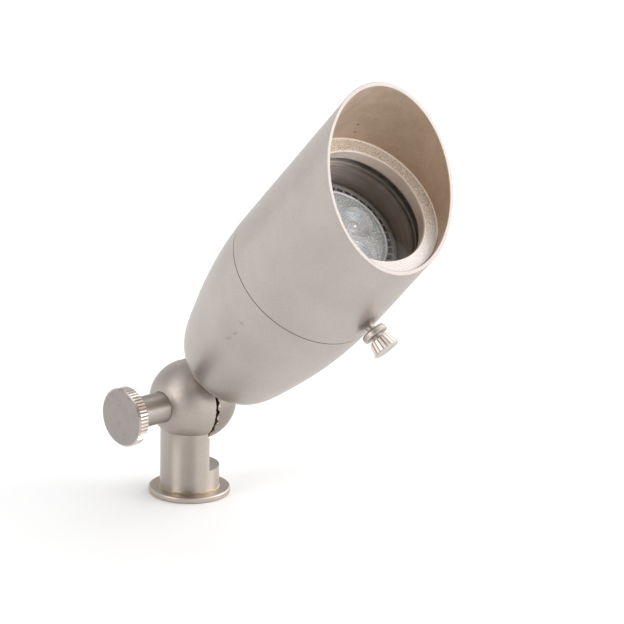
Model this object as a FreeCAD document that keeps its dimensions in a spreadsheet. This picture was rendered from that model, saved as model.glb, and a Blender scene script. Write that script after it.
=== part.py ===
import FreeCAD, Part
import math
import os
import Sketcher
from FreeCAD import Vector, Rotation, Placement

# Garden spotlight: flanged stem, split toothed ball knuckle, bell housing,
# slip-on glare hood, reflector lamp.  Millimetres, +Z up, origin at the centre
# of the flange's underside.  +X is the tilt axis, the knob is on the -X side
# and the head leans towards -Y.  Head pieces are drawn upright in the head's
# own axes (z along the head from the knuckle axis) and are then tilted.

doc = FreeCAD.newDocument("spotlight")
sheet = doc.addObject("Spreadsheet::Sheet", "Dims")

DIMS = [
    # pose
    ("tilt", 43.58), ("hood_turn", 5.86), ("axis_z", 39.24),
    ("head_x", 5.95), ("head_y", 0.97), ("screw_turn", 4.2),
    # flange and stem
    ("flange_r", 16.76), ("flange_h", 2.54), ("flange_edge", 0.7),
    ("stem_r", 12.1), ("spigot_r", 10.2), ("collar_z", 27.8),
    ("collar_r", 12.38), ("ledge_z", 11.65), ("braze_h", 0.4),
    ("socket_r", 7.6), ("socket_depth", 8.8), ("wire_r", 3.2), ("wire_x", 4.25),
    # knuckle
    ("ball_r", 16.8), ("ball_edge", 1.1), ("ball2_r", 16.75),
    ("ball2_x", 2.69), ("crest1_x", 0.1), ("crest2_x", 0.42),
    ("teeth", 24), ("tooth_depth", 1.0), ("chamber_r", 10.6),
    ("chamber_w", 5.0), ("chamber2_w", 9.4), ("post_r", 5.6), ("post_end", 13.4),
    ("bore_hub_r", 6.46), ("bore_hub_x", 8.2), ("bore_stud_r", 3.25),
    # lock knob
    ("knob_r", 12.05), ("knob_out", 36.89), ("knob_in", 31.85),
    ("hub_r", 6.3), ("hub_end", 10.4), ("knob_edge", 0.75),
    ("ridges", 52), ("ridge_depth", 0.52), ("stud_r", 2.95),
    ("stud_tip", 12.6), ("stud_root", 22.0),
    ("flatw_r", 5.9), ("flatw_h", 0.9), ("springw_r", 5.3), ("springw_h", 1.2),
    ("insert_r", 4.0), ("insert_x", 4.2), ("insert_len", 8.8), ("insert_bore", 3.0),
    # neck
    ("neck_r", 9.0), ("seat_s", 17.2), ("nipple_r", 6.7), ("nipple_s", 24.6),
    ("neck_bore", 3.2), ("oring_mid", 7.75), ("oring_sec", 0.66),
    ("oring_gl", 1.4), ("oring_gr", 8.6),
    ("nut_af_r", 10.9), ("nut_s", 20.32), ("nut_h", 3.8),
    # bell housing
    ("seam_s", 91.25), ("body_r", 33.01), ("tube_r", 31.16), ("tube_s", 128.55),
    ("tube_in", 28.2), ("floor_s", 20.3), ("floor_r", 11.9),
    ("shelf_s", 61.8), ("shelf_r", 27.0), ("low_r", 23.4),
    ("post_screw_x", 21.4), ("post_screw_r", 3.4), ("post_screw_s", 46.0),
    ("groove1_s", 109.0), ("groove2_s", 117.5), ("groove_w", 2.5), ("groove_r", 29.75),
    ("oh_sec", 0.79), ("oh_mid", 30.56),
    # glare hood
    ("hood_in", 31.44), ("hood_s", 91.5), ("ring_lo", 133.43),
    ("ring_hi", 139.26), ("ring_bore", 25.36), ("ring_bore_lo", 26.14),
    ("cut_s", 157.85), ("cut_angle", 28.52), ("rim_break", 0.22),
    ("screw_s", 100.3), ("screw_hole", 2.0),
    # thumbscrew
    ("ts_shank", 1.93), ("ts_start", 32.4), ("ts_col_r", 5.25), ("ts_col_lo", 35.2),
    ("ts_col_hi", 37.85), ("ts_col_in", 4.9), ("ts_neck", 2.3), ("ts_head_r", 4.6), ("ts_head_out", 5.7),
    ("ts_head_lo", 39.4), ("ts_head_hi", 44.7), ("ts_ridges", 20), ("ts_ridge_depth", 0.45),
    ("ts_tip_r", 1.5), ("ts_tip_lo", 31.4),
    # lens
    ("glass_r", 29.4), ("glass_lo", 129.6), ("glass_t", 3.0),
    ("gask_r", 31.1), ("gask_in", 27.3), ("gask_lo", 128.6), ("gask_hi", 133.38),
    # lamp retaining sleeve
    ("sleeve_r", 28.12), ("sleeve_in", 26.14), ("sleeve_lo", 98.0),
    ("sleeve_hi", 128.3), ("seat_lo", 111.2), ("seat_hi", 113.6), ("seat_in", 23.6),
    # lamp
    ("lamp_r", 25.0), ("lamp_s", 118.93), ("lamp_back", 113.7),
    ("optic_r", 19.84), ("optic_s", 120.09), ("optic_lo", 115.3),
    ("sink_top_r", 23.2), ("sink_lo", 80.0), ("sink_lo_r", 9.2), ("sink_hi", 113.6),
    ("fins", 20), ("fin_gap", 1.7), ("board_lo", 113.7), ("board_t", 1.4), ("board_r", 19.6),
    ("chip", 3.4), ("chip_t", 0.15), ("chip_pcr", 10.0), ("cup_phase", 18.0), ("cup_r", 6.9), ("cup_in", 6.4), ("cup_deep", 2.6),
    ("cup_ring", 0.9), ("cup_step", 0.28), ("dome_r", 2.3), ("base_lo", 73.9), ("base_w", 17.5), ("base_d", 11.0),
    ("pin_r", 0.775), ("pin_lo", 66.6), ("pin_gap", 5.3), ("vents", 40), ("vent_w", 2.65), ("vent_in", 20.7), ("vent_l", 2.0),
    # lamp socket and bracket
    ("brk_t", 1.2), ("brk_l", 50.6), ("brk_w", 15.0), ("sock_l", 28.0), ("sock_w", 11.6),
    ("sock_h", 10.4), ("sock_screw_x", 10.2), ("sock_pin_r", 2.1), ("contact_in", 0.85),
    ("m3_r", 1.5), ("m3_tap", 1.52), ("m3_head", 2.8), ("m3_head_h", 1.9),
    # leads and grommet
    ("lead_r", 1.0), ("lead_x", 1.45), ("grom_r", 5.8), ("grom_t", 2.2),
]
for i, (alias, value) in enumerate(DIMS, start=1):
    sheet.set("A%d" % i, alias)
    sheet.set("B%d" % i, repr(float(value)) if isinstance(value, float) else str(value))
    sheet.setAlias("B%d" % i, alias)
doc.recompute()
VAL = {a: float(v) for a, v in DIMS}


def num(expr):
    """Value of an arithmetic expression over the sheet's aliases, for start sizes."""
    total, sign, term = 0.0, 1.0, ""
    for ch in str(expr).replace(" ", "") + "+":
        if ch in "+-" and term:
            val = 1.0
            op = "*"
            word = ""
            for c2 in term + "*":
                if c2 in "*/":
                    x = VAL[word] if word in VAL else float(word)
                    val = val * x if op == "*" else val / x
                    op, word = c2, ""
                else:
                    word += c2
            total += sign * val
            term = ""
            sign = 1.0 if ch == "+" else -1.0
        elif ch in "+-":
            sign = 1.0 if ch == "+" else -1.0
        else:
            term += ch
    return total


def bound(expr):
    """The same expression written against the sheet."""
    out, word = "", ""
    for ch in str(expr) + " ":
        if ch.isalnum() or ch in "_.":
            word += ch
        else:
            if word in VAL:
                word = "Dims." + word
            out += word + ch
            word = ""
    return out.strip()


def prim(kind, name, sizes, at=("0", "0", "0"), rot=None):
    obj = doc.addObject(kind, name)
    if rot is not None:
        obj.Placement = Placement(Vector(0, 0, 0), rot)
    for prop, expr in sizes.items():
        obj.setExpression(prop, bound(expr))
    for axis, expr in zip("xyz", at):
        if str(expr) != "0":
            obj.setExpression("Placement.Base." + axis, bound(expr))
    return obj


def cyl(name, r, z0, z1, x="0", y="0"):
    return prim("Part::Cylinder", name, {"Radius": r, "Height": "%s - (%s)" % (z1, z0)},
                (x, y, z0))


ALONG_X = Rotation(Vector(0, 1, 0), 90)
ALONG_NEG_X = Rotation(Vector(0, 1, 0), -90)


def xcyl(name, r, x0, length, z="0", rot=ALONG_X):
    return prim("Part::Cylinder", name, {"Radius": r, "Height": length}, (x0, "0", z), rot)


def fuse(name, *objs):
    f = doc.addObject("Part::MultiFuse", name)
    f.Shapes = list(objs)
    f.Refine = True
    return f


def cut(name, base, *tools):
    c = doc.addObject("Part::Cut", name)
    c.Base = base
    c.Tool = tools[0] if len(tools) == 1 else fuse(name + "_tools", *tools)
    c.Refine = True
    return c


def common(name, a, b):
    c = doc.addObject("Part::Common", name)
    c.Base = a
    c.Tool = b
    return c


def origin_plane(body, role):
    return [f for f in body.Origin.OriginFeatures if f.Role == role][0]


def bind_poly(sk, pts):
    """Closed polyline whose corners sit at sheet-driven distances from the origin."""
    n = len(pts)
    xy = [(num(a), num(b)) for a, b in pts]
    for k in range(n):
        a, b = xy[k], xy[(k + 1) % n]
        sk.addGeometry(Part.LineSegment(Vector(a[0], a[1], 0), Vector(b[0], b[1], 0)), False)
    for k in range(n):
        sk.addConstraint(Sketcher.Constraint("Coincident", k, 2, (k + 1) % n, 1))
    for k in range(n):
        for kind, val, expr, axis in (("DistanceX", xy[k][0], pts[k][0], -2),
                                      ("DistanceY", xy[k][1], pts[k][1], -1)):
            if abs(val) < 1e-9:
                sk.addConstraint(Sketcher.Constraint("PointOnObject", k, 1, axis))
            else:
                i = sk.addConstraint(Sketcher.Constraint(kind, -1, 1, k, 1, val))
                sk.setExpression("Constraints[%d]" % i, bound(expr))


def turned(name, pts):
    """A turned piece: a closed (radius, height) profile revolved about its own Z."""
    body = doc.addObject("PartDesign::Body", name)
    sk = body.newObject("Sketcher::SketchObject", name + "_profile")
    sk.AttachmentSupport = [(origin_plane(body, "XZ_Plane"), "")]
    sk.MapMode = "FlatFace"
    bind_poly(sk, pts)
    rev = body.newObject("PartDesign::Revolution", name + "_turn")
    rev.Profile = sk
    rev.ReferenceAxis = (sk, ["V_Axis"])
    rev.Angle = 360
    doc.recompute()
    return body


def circle_of(edge):
    """The circle under an edge, or None (a ball's pole has no curve)."""
    if edge.Degenerated:
        return None
    return edge.Curve if isinstance(edge.Curve, Part.Circle) else None


def circle_edges(shape, r, z, tol=0.02):
    out = []
    for i, e in enumerate(shape.Edges, start=1):
        c = circle_of(e)
        if c is not None and abs(c.Radius - r) < tol and abs(c.Center.z - z) < tol:
            out.append("Edge%d" % i)
    return out


def round_edges(body, name, r, z, size, kind="PartDesign::Fillet"):
    """Break the circular edges of radius r at height z."""
    base = body.Tip
    names = []
    for rr, zz in zip(r, z):
        names += circle_edges(base.Shape, num(rr), num(zz))
    f = body.newObject(kind, name)
    f.Base = (base, names)
    f.setExpression("Radius" if kind.endswith("Fillet") else "Size", bound(size))
    doc.recompute()
    body.Tip = f
    return f


def polar_grooves(body, name, corners, count, span):
    """V grooves down the side of a turned piece, drawn on its XY plane."""
    sk = body.newObject("Sketcher::SketchObject", name + "_vee")
    sk.AttachmentSupport = [(origin_plane(body, "XY_Plane"), "")]
    sk.MapMode = "FlatFace"
    bind_poly(sk, corners)
    before = body.Tip.Shape.Volume
    po = body.newObject("PartDesign::Pocket", name + "_groove")
    po.Profile = sk
    po.Type = "ThroughAll"
    po.Midplane = True
    po.setExpression("Length", bound(span))
    doc.recompute()
    if not po.Shape.Volume < before - 1e-6:
        raise RuntimeError(name + ": groove cuts nothing")
    pat = body.newObject("PartDesign::PolarPattern", name + "_pattern")
    pat.Originals = [po]
    pat.Axis = (sk, ["N_Axis"])
    pat.Angle = 360
    pat.setExpression("Occurrences", bound(count))
    body.Tip = pat
    doc.recompute()
    return pat


def pair(name, *pieces):
    """One or more primitives carried as one piece, each keeping its own place in it."""
    c = doc.addObject("Part::Compound", name)
    c.Links = list(pieces)
    return c


def plain(name, shape):
    f = doc.addObject("Part::Feature", name)
    f.Shape = shape
    return f


def tooth_tool(name, crest_x, direction, count, depth, r_out, phase):
    """Radial V grooves for a toothed face across the X axis; direction is the way the metal lies."""
    step = 2 * math.pi / count
    half = 0.46 * step
    solids = []
    apex = Vector(crest_x, 0, 0)
    for k in range(int(count)):
        a = phase + k * step
        er = Vector(0, math.cos(a), math.sin(a))
        et = Vector(0, -math.sin(a), math.cos(a))
        ends = []
        for r in (r_out * 0.5, r_out):
            d = depth * r / r_out
            top = math.tan(half) * r * (d + 0.4) / d
            ends.append((apex + er * r + et * top - Vector(direction * 0.4, 0, 0),
                         apex + er * r - et * top - Vector(direction * 0.4, 0, 0),
                         apex + er * r + Vector(direction * d, 0, 0)))
        (a1, a2, a3), (b1, b2, b3) = ends
        loops = ((a1, a2, a3), (b1, b2, b3), (a1, a2, b2), (a1, b2, b1), (a2, a3, b3), (a2, b3, b2), (a3, a1, b1), (a3, b1, b3))
        solid = Part.Solid(Part.Shell([Part.Face(Part.makePolygon(list(q) + [q[0]])) for q in loops]))
        if solid.Volume < 0:
            solid.reverse()
        solids.append(solid)
    return plain(name, Part.Compound(solids))


HEAD_ROT = Rotation(Vector(1, 0, 0), VAL["tilt"])
KNUCKLE = Placement(Vector(0, 0, VAL["axis_z"]), HEAD_ROT)
HEAD = KNUCKLE.multiply(Placement(Vector(VAL["head_x"], VAL["head_y"], 0), Rotation()))
HOOD = HEAD.multiply(Placement(Vector(0, 0, 0), Rotation(Vector(0, 0, 1), VAL["hood_turn"])))
SCREW = HEAD.multiply(Placement(Vector(0, 0, 0), Rotation(Vector(0, 0, 1), VAL["hood_turn"] + VAL["screw_turn"]))).multiply(
    Placement(Vector(0, 0, VAL["screw_s"]), Rotation(Vector(1, 0, 0), 90)))
KNOB = Placement(Vector(0, 0, VAL["axis_z"]), ALONG_NEG_X)
ROW = Placement()

NODES = []


def node(obj, label, place):
    obj.Label = label
    obj.Placement = place
    NODES.append(obj)
    return obj


# --- flange: a thin turned disc with an eased edge -------------------------
flange = turned("mount_flange_body", [
    ("spigot_r", "0"), ("flange_r", "0"), ("flange_r", "flange_h"), ("spigot_r", "flange_h")])
round_edges(flange, "flange_soft", ["flange_r", "flange_r"], ["0", "flange_h"], "flange_edge")
node(flange, "mount_flange", ROW)

# brazing fillet in the corner between stem and flange
braze = turned("flange_braze_body", [
    ("stem_r", "flange_h"), ("stem_r + braze_h", "flange_h"), ("stem_r", "flange_h + braze_h")])
node(braze, "flange_braze", ROW)

# --- stem with the fixed half of the knuckle -------------------------------
shaft = turned("stem_shaft", [
    ("0", "0"), ("spigot_r", "0"), ("spigot_r", "flange_h"), ("stem_r", "flange_h"),
    ("stem_r", "collar_z"), ("0", "collar_z")])
collar = turned("stem_collar", [
    ("0", "collar_z"), ("collar_r - 0.35", "collar_z"), ("collar_r", "collar_z + 0.35"),
    ("collar_r", "collar_z + 3.5"), ("0", "collar_z + 3.5")])
ball = prim("Part::Sphere", "ball1", {"Radius": "ball_r"}, ("0", "0", "axis_z"), ALONG_X)
ball_keep = prim("Part::Box", "ball1_keep", {"Length": "30", "Width": "60", "Height": "60"},
                 ("crest1_x - 30", "0 - 30", "axis_z - 30"))
half_sharp = common("half_ball1", ball, ball_keep)
doc.recompute()
half_ball = doc.addObject("Part::Fillet", "half_ball1_soft")
half_ball.Base = half_sharp
half_ball.Edges = [(i, VAL["ball_edge"], VAL["ball_edge"]) for i, e in enumerate(half_sharp.Shape.Edges, start=1)
                   if circle_of(e) is not None and abs(e.Curve.Center.x - VAL["crest1_x"]) < 0.02]
flat_cut = prim("Part::Box", "stem_flat", {"Length": "30", "Width": "60", "Height": "80"},
                ("crest1_x", "0 - 30", "ledge_z"))
stem_solid = fuse("stem_solid", cut("stem_half", fuse("stem_round", shaft, collar), flat_cut), half_ball)
chamber1 = xcyl("chamber1", "chamber_r", "0 - chamber_w", "chamber_w + 5", "axis_z")
hub_bore = xcyl("hub_bore", "bore_hub_r", "0 - 40", "40 - bore_hub_x", "axis_z")
stud_bore = xcyl("stud_bore", "bore_stud_r", "0 - 20", "30", "axis_z")
stem_tap = cyl("stem_tap", "socket_r", "0", "socket_depth")
stem_wire = cyl("stem_wire", "wire_r", "socket_depth - 1", "axis_z - 7", "0 - wire_x")
doc.recompute()
teeth1 = tooth_tool("teeth1", VAL["crest1_x"], -1, VAL["teeth"], VAL["tooth_depth"], 18.0, 0.0)
teeth1.Placement = Placement(Vector(0, 0, VAL["axis_z"]), Rotation())
stem = cut("stem_knuckle_cut", stem_solid, chamber1, hub_bore, stud_bore, stem_tap, stem_wire)
stem_toothed = cut("stem_toothed", stem, teeth1)
node(stem_toothed, "stem_knuckle", ROW)

# --- lock knob: turned disc and hub, straight knurl round the disc ----------
knob = turned("lock_knob_body", [
    ("0", "hub_end"), ("hub_r - 0.5", "hub_end"), ("hub_r", "hub_end + 0.5"), ("hub_r", "knob_in"),
    ("knob_r - knob_edge", "knob_in"), ("knob_r", "knob_in + knob_edge"),
    ("knob_r", "knob_out - knob_edge"), ("knob_r - knob_edge", "knob_out"), ("0", "knob_out")])
polar_grooves(knob, "knob_knurl", [
    ("knob_r - ridge_depth", "0"), ("knob_r + 0.2", "0.62"), ("knob_r + 0.2", "0 - 0.62")], "ridges", "90")
stud_hole = cyl("stud_hole", "stud_r", "hub_end - 1", "stud_root")
knob_cut = cut("lock_knob_cut", knob, stud_hole)
node(knob_cut, "lock_knob", KNOB)

stud = turned("knob_stud_body", [
    ("0", "0 - stud_tip"), ("stud_r - 0.6", "0 - stud_tip"), ("stud_r", "0.6 - stud_tip"),
    ("stud_r", "stud_root"), ("0", "stud_root")])
node(stud, "knob_stud", KNOB)

flatw = turned("knob_flat_washer_body", [
    ("stud_r + 0.25", "bore_hub_x"), ("flatw_r", "bore_hub_x"), ("flatw_r", "bore_hub_x + flatw_h"),
    ("stud_r + 0.25", "bore_hub_x + flatw_h")])
node(flatw, "knob_flat_washer", KNOB)

springw_ring = turned("springw_ring", [
    ("stud_r + 0.25", "bore_hub_x + flatw_h"), ("springw_r", "bore_hub_x + flatw_h"),
    ("springw_r", "bore_hub_x + flatw_h + springw_h"), ("stud_r + 0.25", "bore_hub_x + flatw_h + springw_h")])
springw_slit = prim("Part::Box", "springw_slit", {"Length": "10", "Width": "0.8", "Height": "4"},
                    ("0", "0 - 0.4", "bore_hub_x + flatw_h - 1"))
node(cut("springw_cut", springw_ring, springw_slit), "knob_spring_washer", KNOB)

# --- moving half of the knuckle with its neck and threaded nipple -----------
ball2 = prim("Part::Sphere", "ball2", {"Radius": "ball2_r"}, ("ball2_x", "0", "0"), ALONG_X)
ball2_keep = prim("Part::Box", "ball2_keep", {"Length": "30", "Width": "60", "Height": "60"},
                  ("crest2_x", "0 - 30", "0 - 30"))
half2 = common("half_ball2", ball2, ball2_keep)
neck = cyl("neck", "neck_r", "9", "seat_s", "head_x", "head_y")
neck_keep = prim("Part::Box", "neck_keep", {"Length": "30", "Width": "60", "Height": "60"},
                 ("crest2_x + 1.9", "0 - 30", "0 - 30"))
neck_half = common("neck_half", neck, neck_keep)
nipple = cyl("nipple", "nipple_r", "12", "nipple_s", "head_x", "head_y")
nipple_keep = prim("Part::Box", "nipple_keep", {"Length": "30", "Width": "60", "Height": "60"},
                   ("0 - 15", "0 - 30", "seat_s"))
nipple_top = common("nipple_top", nipple, nipple_keep)
arm_solid = fuse("arm_solid", half2, neck_half, nipple_top)
chamber2 = xcyl("chamber2", "chamber_r", "crest2_x - 2", "chamber2_w + 2")
post = xcyl("post", "post_r", "crest2_x + 1", "chamber2_w")
neck_wire = cyl("neck_wire", "neck_bore", "7.4", "nipple_s + 1", "head_x", "head_y")
insert_bore = xcyl("insert_bore", "insert_r", "insert_x", "insert_len")
stud_way = xcyl("stud_way", "stud_r + 0.3", "0", "post_end")
teeth2 = tooth_tool("teeth2", VAL["crest2_x"], 1, VAL["teeth"], VAL["tooth_depth"], 18.0, math.pi / VAL["teeth"])
arm0 = cut("arm_hollow", arm_solid, chamber2)
arm1 = fuse("arm_with_post", arm0, post)
arm2 = cut("knuckle_arm_cut", arm1, neck_wire, insert_bore, stud_way)
arm = cut("knuckle_arm_toothed", arm2, teeth2)
node(arm, "knuckle_arm", KNUCKLE)

insert = cut("insert_cut", xcyl("insert_out", "insert_r", "insert_x", "insert_len"),
             xcyl("insert_in", "insert_bore", "insert_x - 1", "insert_len + 2"))
node(insert, "knuckle_insert", KNUCKLE)

oring = prim("Part::Torus", "neck_oring_ring", {"Radius1": "oring_mid", "Radius2": "oring_sec"}, ("0", "0", "0"))
oring.setExpression("Placement.Base.z", bound("floor_s - oring_gl/2"))
node(pair("neck_oring_one", oring), "neck_o_ring", HEAD)

# hexagonal locknut on the nipple, inside the housing
nut = cut("neck_locknut_cut",
          prim("Part::Prism", "nut_hex", {"Circumradius": "nut_af_r", "Height": "nut_h"}, ("0", "0", "nut_s")),
          cyl("nut_bore", "nipple_r + 0.04", "nut_s - 1", "nut_s + nut_h + 1"))
node(nut, "neck_locknut", HEAD)

# rubber grommet in the nipple, with one hole per lead
grom = turned("grommet_body", [
    ("0", "nipple_s - 5"), ("neck_bore", "nipple_s - 5"), ("neck_bore", "nipple_s"), ("grom_r", "nipple_s"),
    ("grom_r", "nipple_s + 1.5"), ("grom_r - 1.5", "nipple_s + grom_t"), ("0", "nipple_s + grom_t")])
grom_cut = cut("cord_grommet_cut", grom,
               cyl("grom_h1", "lead_r", "nipple_s - 6", "nipple_s + 4", "lead_x"),
               cyl("grom_h2", "lead_r", "nipple_s - 6", "nipple_s + 4", "0 - lead_x"))
node(grom_cut, "cord_grommet", HEAD)

# --- bell housing: free-form bullet outside, stepped bore inside ------------
B = VAL
poles = [(0.0, B["seat_s"]), (8.4, B["seat_s"]), (17.35, 20.9), (22.75, 28.0), (25.8, 40.8),
         (28.86, 53.7), (31.48, 68.7), (32.84, 82.3), (B["body_r"], B["seam_s"])]
curve = Part.BSplineCurve()
m = len(poles)
inner = [k / float(m - 3) for k in range(1, m - 3)]
curve.buildFromPolesMultsKnots([Vector(r, 0, z) for r, z in poles],
                               [4] + [1] * len(inner) + [4], [0.0] + inner + [1.0], False, 3)
p_seam = Vector(B["body_r"], 0, B["seam_s"])
p1 = Vector(B["tube_r"], 0, B["seam_s"])
p2 = Vector(B["tube_r"], 0, B["tube_s"])
p3 = Vector(0, 0, B["tube_s"])
p0 = Vector(0, 0, B["seat_s"])
wire = Part.Wire([curve.toShape(), Part.makeLine(p_seam, p1), Part.makeLine(p1, p2),
                  Part.makeLine(p2, p3), Part.makeLine(p3, p0)])
bell_blank = plain("bell_blank", Part.Face(wire).revolve(Vector(0, 0, 0), Vector(0, 0, 1), 360))
cavity = turned("bell_cavity", [
    ("0", "floor_s"), ("floor_r", "floor_s"), ("16.6", "24.4"), ("20.2", "33"), ("low_r", "50"), ("low_r + 1.6", "shelf_s"),
    ("shelf_r", "shelf_s"), ("tube_in", "shelf_s + 10"), ("tube_in", "tube_s + 1"), ("0", "tube_s + 1")])
cavity_posts = cut("cavity_posts", cavity,
                   cyl("boss1", "post_screw_r", "post_screw_s", "shelf_s", "post_screw_x"),
                   cyl("boss2", "post_screw_r", "post_screw_s", "shelf_s", "0 - post_screw_x"))
g1 = cut("groove_tool1", cyl("groove1_out", "tube_r + 1", "groove1_s", "groove1_s + groove_w"),
         cyl("groove1_in", "groove_r", "groove1_s - 1", "groove1_s + groove_w + 1"))
g2 = cut("groove_tool2", cyl("groove2_out", "tube_r + 1", "groove2_s", "groove2_s + groove_w"),
         cyl("groove2_in", "groove_r", "groove2_s - 1", "groove2_s + groove_w + 1"))
bell = cut("bell_cut", bell_blank, cavity_posts, g1, g2,
           cyl("bell_neck_hole", "nipple_r + 0.06", "seat_s - 1", "floor_s + 1"),
           cyl("bell_seal_step", "oring_gr", "floor_s - oring_gl", "floor_s + 1"),
           cyl("bell_tap1", "m3_tap", "shelf_s - 9", "shelf_s + 1", "post_screw_x"),
           cyl("bell_tap2", "m3_tap", "shelf_s - 9", "shelf_s + 1", "0 - post_screw_x"))
node(bell, "bell_housing", HEAD)

orings = doc.addObject("Part::Compound", "housing_orings_pair")
orings.Links = [
    prim("Part::Torus", "hor1", {"Radius1": "oh_mid", "Radius2": "oh_sec"}, ("0", "0", "groove1_s + groove_w/2")),
    prim("Part::Torus", "hor2", {"Radius1": "oh_mid", "Radius2": "oh_sec"}, ("0", "0", "groove2_s + groove_w/2"))]
node(orings, "housing_o_rings", HEAD)

# --- socket bracket, lamp socket and their screws ---------------------------
bar = prim("Part::Box", "brk_bar", {"Length": "brk_l", "Width": "brk_w", "Height": "brk_t"},
           ("0 - brk_l/2", "0 - brk_w/2", "shelf_s"))
bar_round = common("brk_round", bar, cyl("brk_disc", "shelf_r - 0.5", "shelf_s", "shelf_s + brk_t"))
bracket = cut("bracket_cut", bar_round,
              prim("Part::Box", "brk_slot", {"Length": "12", "Width": "6.5", "Height": "4"}, ("0 - 6", "0 - 3.25", "shelf_s - 1")),
              cyl("brk_h1", "m3_r + 0.2", "shelf_s - 1", "shelf_s + 3", "post_screw_x"),
              cyl("brk_h2", "m3_r + 0.2", "shelf_s - 1", "shelf_s + 3", "0 - post_screw_x"),
              cyl("brk_h3", "m3_tap", "shelf_s - 1", "shelf_s + 3", "sock_screw_x"),
              cyl("brk_h4", "m3_tap", "shelf_s - 1", "shelf_s + 3", "0 - sock_screw_x"))
node(bracket, "socket_bracket", HEAD)


def pan_screw(name, seat, length, x):
    """Pan-head screw standing on its seat height at x."""
    head = cyl(name + "_head", "m3_head", seat, seat + " + m3_head_h", x)
    shank = cyl(name + "_shank", "m3_r", "%s - %s" % (seat, length), seat, x)
    both = fuse(name + "_solid", head, shank)
    slot_w = prim("Part::Box", name + "_slot", {"Length": "0.8", "Width": "8", "Height": "2"},
                  ("%s - 0.4" % x, "0 - 4", seat + " + m3_head_h - 1"))
    return cut(name, both, slot_w)


node(pair("bracket_screw_pair", pan_screw("brs1", "shelf_s + brk_t", "8", "post_screw_x"),
          pan_screw("brs2", "shelf_s + brk_t", "8", "0 - post_screw_x")), "bracket_screws", HEAD)

sock = fuse("sock_stadium",
            prim("Part::Box", "sock_box", {"Length": "sock_l - sock_w", "Width": "sock_w", "Height": "sock_h"},
                 ("0 - sock_l/2 + sock_w/2", "0 - sock_w/2", "shelf_s + brk_t")),
            cyl("sock_e1", "sock_w/2", "shelf_s + brk_t", "shelf_s + brk_t + sock_h", "sock_l/2 - sock_w/2"),
            cyl("sock_e2", "sock_w/2", "shelf_s + brk_t", "shelf_s + brk_t + sock_h", "0 - sock_l/2 + sock_w/2"))
sock_cut = cut("lamp_socket_cut", sock,
               cyl("sock_p1", "sock_pin_r", "shelf_s", "shelf_s + 20", "pin_gap/2"),
               cyl("sock_p2", "sock_pin_r", "shelf_s", "shelf_s + 20", "0 - pin_gap/2"),
               cyl("sock_s1", "m3_r + 0.1", "shelf_s", "shelf_s + 20", "sock_screw_x"),
               cyl("sock_s2", "m3_r + 0.1", "shelf_s", "shelf_s + 20", "0 - sock_screw_x"),
               cyl("sock_c1", "m3_head + 0.3", "shelf_s + brk_t + sock_h - 4", "shelf_s + 20", "sock_screw_x"),
               cyl("sock_c2", "m3_head + 0.3", "shelf_s + brk_t + sock_h - 4", "shelf_s + 20", "0 - sock_screw_x"))
node(sock_cut, "lamp_socket", HEAD)
node(pair("socket_screw_pair", pan_screw("sos1", "shelf_s + brk_t + sock_h - 4", "8.6", "sock_screw_x"),
          pan_screw("sos2", "shelf_s + brk_t + sock_h - 4", "8.6", "0 - sock_screw_x")), "socket_screws", HEAD)
node(pair("contact_pair",
          cut("con1", cyl("con1_out", "sock_pin_r", "shelf_s + brk_t", "shelf_s + brk_t + sock_h - 0.6", "pin_gap/2"),
              cyl("con1_in", "contact_in", "shelf_s + brk_t + 2", "shelf_s + 20", "pin_gap/2")),
          cut("con2", cyl("con2_out", "sock_pin_r", "shelf_s + brk_t", "shelf_s + brk_t + sock_h - 0.6", "0 - pin_gap/2"),
              cyl("con2_in", "contact_in", "shelf_s + brk_t + 2", "shelf_s + 20", "0 - pin_gap/2"))),
     "socket_contacts", HEAD)


def lead(sign):
    """One insulated lead: straight runs joined by tangent arcs, grommet to socket contact."""
    lx, px = VAL["lead_x"] * sign, VAL["pin_gap"] / 2 * sign
    z0, z1 = VAL["nipple_s"] - 5, VAL["shelf_s"] + VAL["brk_t"]
    pts = [Vector(lx, 0, z0), Vector(lx, 0, z0 + 14), Vector(lx + 3.2 * sign, 2.6 * sign, z0 + 25),
           Vector(px + 1.6 * sign, 1.8 * sign, z1 - 10), Vector(px, 0, z1 - 4.5), Vector(px, 0, z1)]
    edges, prev = [], pts[0]
    for k in range(1, len(pts) - 1):
        a, b, c = pts[k - 1], pts[k], pts[k + 1]
        u, v = (a - b), (c - b)
        lu, lv = u.Length, v.Length
        u.normalize()
        v.normalize()
        turn = math.pi - u.getAngle(v)
        if turn < 1e-6:
            continue
        t = 0.45 * min(lu, lv)
        r = t / math.tan(turn / 2)
        s, e = b + u * t, b + v * t
        mid_dir = (u + v)
        mid_dir.normalize()
        centre = b + mid_dir * (r / math.cos(turn / 2))
        mid = centre - mid_dir * r
        if (s - prev).Length > 1e-6:
            edges.append(Part.LineSegment(prev, s).toShape())
        edges.append(Part.Arc(s, mid, e).toShape())
        prev = e
    edges.append(Part.LineSegment(prev, pts[-1]).toShape())
    path = Part.Wire(edges)
    disc = Part.Wire([Part.Circle(pts[0], Vector(0, 0, 1), VAL["lead_r"]).toShape()])
    tube = path.makePipeShell([disc], True, True)
    print("lead volume / section x length: %.4f" % (tube.Volume / (math.pi * VAL["lead_r"] ** 2 * path.Length)))
    return tube


leads = plain("lead_pair", Part.Compound([lead(1), lead(-1)]))
node(leads, "lead_wires", HEAD)

# --- lamp retaining sleeve ---------------------------------------------------
sleeve = turned("lamp_retainer_body", [
    ("sleeve_in", "sleeve_hi"), ("sleeve_r", "sleeve_hi"), ("sleeve_r", "sleeve_lo"), ("seat_in + 2.9", "sleeve_lo"),
    ("seat_in + 2.9", "seat_lo - 1"), ("seat_in", "seat_lo"), ("seat_in", "seat_hi"), ("sleeve_in", "seat_hi")])
node(sleeve, "lamp_retainer", HEAD)

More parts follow.
